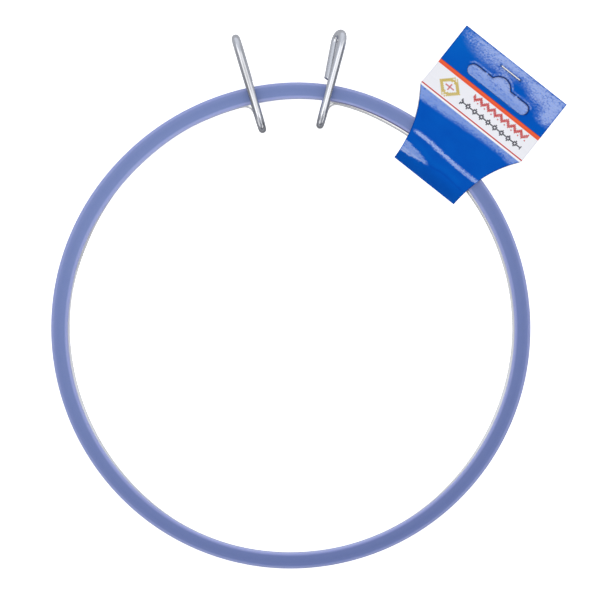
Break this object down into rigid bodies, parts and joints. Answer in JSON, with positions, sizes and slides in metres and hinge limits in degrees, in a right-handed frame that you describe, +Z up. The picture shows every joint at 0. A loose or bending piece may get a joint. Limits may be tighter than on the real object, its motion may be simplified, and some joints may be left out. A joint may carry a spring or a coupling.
{
  "type": "spring tension embroidery hoop",
  "caption": "Round plastic embroidery hoop with a grooved inner wall and a steel spring ring with two hairpin squeeze handles; folded card hang tag round the rim.",
  "frame": {"origin": "centre of the round part of the hoop, on the plane of the plastic ring's underside", "axes": "+Z up through the hoop, towards the handles' front strands; +Y in the plane of the hoop from its centre towards the gap between the handles; +X to the right"},
  "size_m": [0.2039, 0.2148, 0.0121],
  "materials": {
    "plastic": "moulded periwinkle blue, satin",
    "spring_steel": "bright nickel-plated spring wire",
    "card": "printed coated card, glossy",
    "staple": "galvanised staple wire"
  },
  "bodies": {
    "hoop": {"outer_ring": "plastic"},
    "spring_base": {"spring_bottom": "spring_steel"},
    "right_lower_wire": {"spring_right_lower": "spring_steel"},
    "right_low_side_wire": {"spring_right_low_side": "spring_steel"},
    "right_side_wire": {"spring_right_side": "spring_steel"},
    "right_high_side_wire": {"spring_right_high_side": "spring_steel"},
    "right_arm": {"spring_right_upper": "spring_steel", "right_handle": "spring_steel"},
    "left_lower_wire": {"spring_left_lower": "spring_steel"},
    "left_low_side_wire": {"spring_left_low_side": "spring_steel"},
    "left_side_wire": {"spring_left_side": "spring_steel"},
    "left_high_side_wire": {"spring_left_high_side": "spring_steel"},
    "left_arm": {"spring_left_upper": "spring_steel", "left_handle": "spring_steel"},
    "tag": {"card_tag": "card", "staple": "staple"}
  },
  "joints": [
    {"name": "handle_squeeze", "type": "slide", "parent": "hoop", "child": "spring_base", "axis": [0, 1, 0], "range_m": [0, 0.00488], "stiffness_N_per_m": 3200, "springref_m": -0.008},
    {"name": "right_lower_flex", "type": "hinge", "parent": "spring_base", "child": "right_lower_wire", "pos_m": [0.02245, -0.08554, 0.00375], "axis": [0, 0, 1], "range_deg": [0, 1.43]},
    {"name": "right_low_side_flex", "type": "hinge", "parent": "right_lower_wire", "child": "right_low_side_wire", "pos_m": [0.0608, -0.0634, 0.00375], "axis": [0, 0, 1], "range_deg": [0, 1.26]},
    {"name": "right_side_flex", "type": "hinge", "parent": "right_low_side_wire", "child": "right_side_wire", "pos_m": [0.08455, -0.02227, 0.00375], "axis": [0, 0, 1], "range_deg": [0, 0.982]},
    {"name": "right_high_side_flex", "type": "hinge", "parent": "right_side_wire", "child": "right_high_side_wire", "pos_m": [0.08455, 0.02284, 0.00375], "axis": [0, 0, 1], "range_deg": [0, 0.655]},
    {"name": "right_upper_flex", "type": "hinge", "parent": "right_high_side_wire", "child": "right_arm", "pos_m": [0.06013, 0.06514, 0.00375], "axis": [0, 0, 1], "range_deg": [0, 0.428]},
    {"name": "left_lower_flex", "type": "hinge", "parent": "spring_base", "child": "left_lower_wire", "pos_m": [-0.02245, -0.08554, 0.00375], "axis": [0, 0, -1], "range_deg": [0, 1.43]},
    {"name": "left_low_side_flex", "type": "hinge", "parent": "left_lower_wire", "child": "left_low_side_wire", "pos_m": [-0.06035, -0.06366, 0.00375], "axis": [0, 0, -1], "range_deg": [0, 1.26]},
    {"name": "left_side_flex", "type": "hinge", "parent": "left_low_side_wire", "child": "left_side_wire", "pos_m": [-0.08446, -0.0219, 0.00375], "axis": [0, 0, -1], "range_deg": [0, 0.982]},
    {"name": "left_high_side_flex", "type": "hinge", "parent": "left_side_wire", "child": "left_high_side_wire", "pos_m": [-0.08446, 0.02238, 0.00375], "axis": [0, 0, -1], "range_deg": [0, 0.655]},
    {"name": "left_upper_flex", "type": "hinge", "parent": "left_high_side_wire", "child": "left_arm", "pos_m": [-0.0602, 0.06441, 0.00375], "axis": [0, 0, -1], "range_deg": [0, 0.428]},
    {"name": "tag_travel", "type": "hinge", "parent": "hoop", "child": "tag", "pos_m": [0, 0, 0], "axis": [0, 0, 1], "range_deg": [-292, 15]}
  ],
  "couplings": [
    {"joint": "right_lower_flex", "follows": "handle_squeeze", "rad_per_m": 5},
    {"joint": "right_low_side_flex", "follows": "handle_squeeze", "rad_per_m": 4.43},
    {"joint": "right_side_flex", "follows": "handle_squeeze", "rad_per_m": 3.44},
    {"joint": "right_high_side_flex", "follows": "handle_squeeze", "rad_per_m": 2.295},
    {"joint": "right_upper_flex", "follows": "handle_squeeze", "rad_per_m": 1.5},
    {"joint": "left_lower_flex", "follows": "handle_squeeze", "rad_per_m": 5},
    {"joint": "left_low_side_flex", "follows": "handle_squeeze", "rad_per_m": 4.43},
    {"joint": "left_side_flex", "follows": "handle_squeeze", "rad_per_m": 3.44},
    {"joint": "left_high_side_flex", "follows": "handle_squeeze", "rad_per_m": 2.295},
    {"joint": "left_upper_flex", "follows": "handle_squeeze", "rad_per_m": 1.5}
  ]
}
